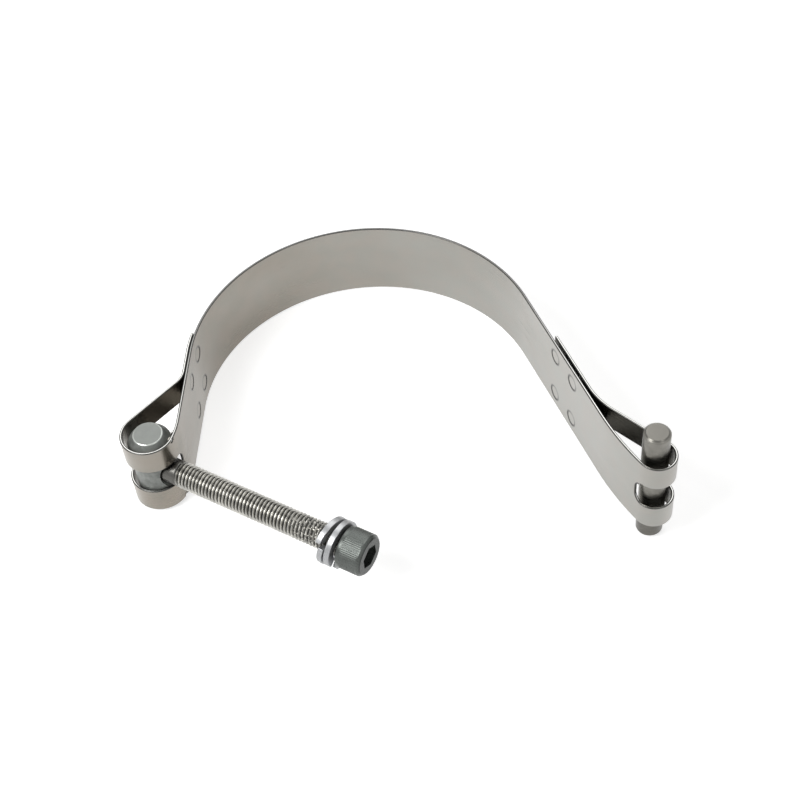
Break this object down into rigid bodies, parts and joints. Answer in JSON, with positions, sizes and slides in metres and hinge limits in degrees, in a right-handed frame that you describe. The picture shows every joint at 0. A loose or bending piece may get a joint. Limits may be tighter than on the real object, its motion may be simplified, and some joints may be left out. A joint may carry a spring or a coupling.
{
  "type": "exhaust clamp",
  "caption": "Open strap clamp for a round exhaust pipe: bent steel strip with folded eyes, a swinging trunnion with a long cap screw and split washers, and a loose hinge pin.",
  "frame": {"origin": "on the axis of the pipe that the strap closes round, at the middle of the strap's width", "axes": "+Z along the pipe's axis, away from the floor as it lies; +X towards the hinge pin's side, +Y towards the closed top of the main arc"},
  "size_m": [0.1991, 0.1567, 0.056],
  "materials": {
    "strap_steel": "satin rolled stainless strip",
    "trunnion_steel": "grey-green phosphate, dull",
    "screw_steel": "dark zinc-flake coat, oily",
    "washer_steel": "bright zinc plate",
    "pin_steel": "plain ground steel"
  },
  "bodies": {
    "strap_body": {"strap": "strap_steel"},
    "trunnion_body": {"trunnion": "trunnion_steel"},
    "washers": {"spring_washer_outer": "washer_steel", "spring_washer_inner": "washer_steel"},
    "screw": {"cap_screw": "screw_steel"},
    "pin": {"hinge_pin": "pin_steel"}
  },
  "joints": [
    {"name": "screw_swing", "type": "hinge", "parent": "strap_body", "child": "trunnion_body", "pos_m": [-0.08255, -0.02862, 0], "axis": [0, 0, 1], "range_deg": [-238, 5]},
    {"name": "screw_travel", "type": "slide", "parent": "trunnion_body", "child": "washers", "axis": [0.8111, -0.585, 0], "range_m": [-0.05, 0.012]},
    {"name": "screw_turn", "type": "hinge", "parent": "washers", "child": "screw", "pos_m": [-0.08255, -0.02862, 0], "axis": [0.8111, -0.585, 0], "range_deg": [-12000, 2880]},
    {"name": "pin_slide", "type": "slide", "parent": "strap_body", "child": "pin", "axis": [0, 0, 1], "range_m": [-0.04, 0.04]}
  ],
  "couplings": [
    {"joint": "screw_turn", "follows": "screw_travel", "rad_per_m": 4188.8}
  ]
}
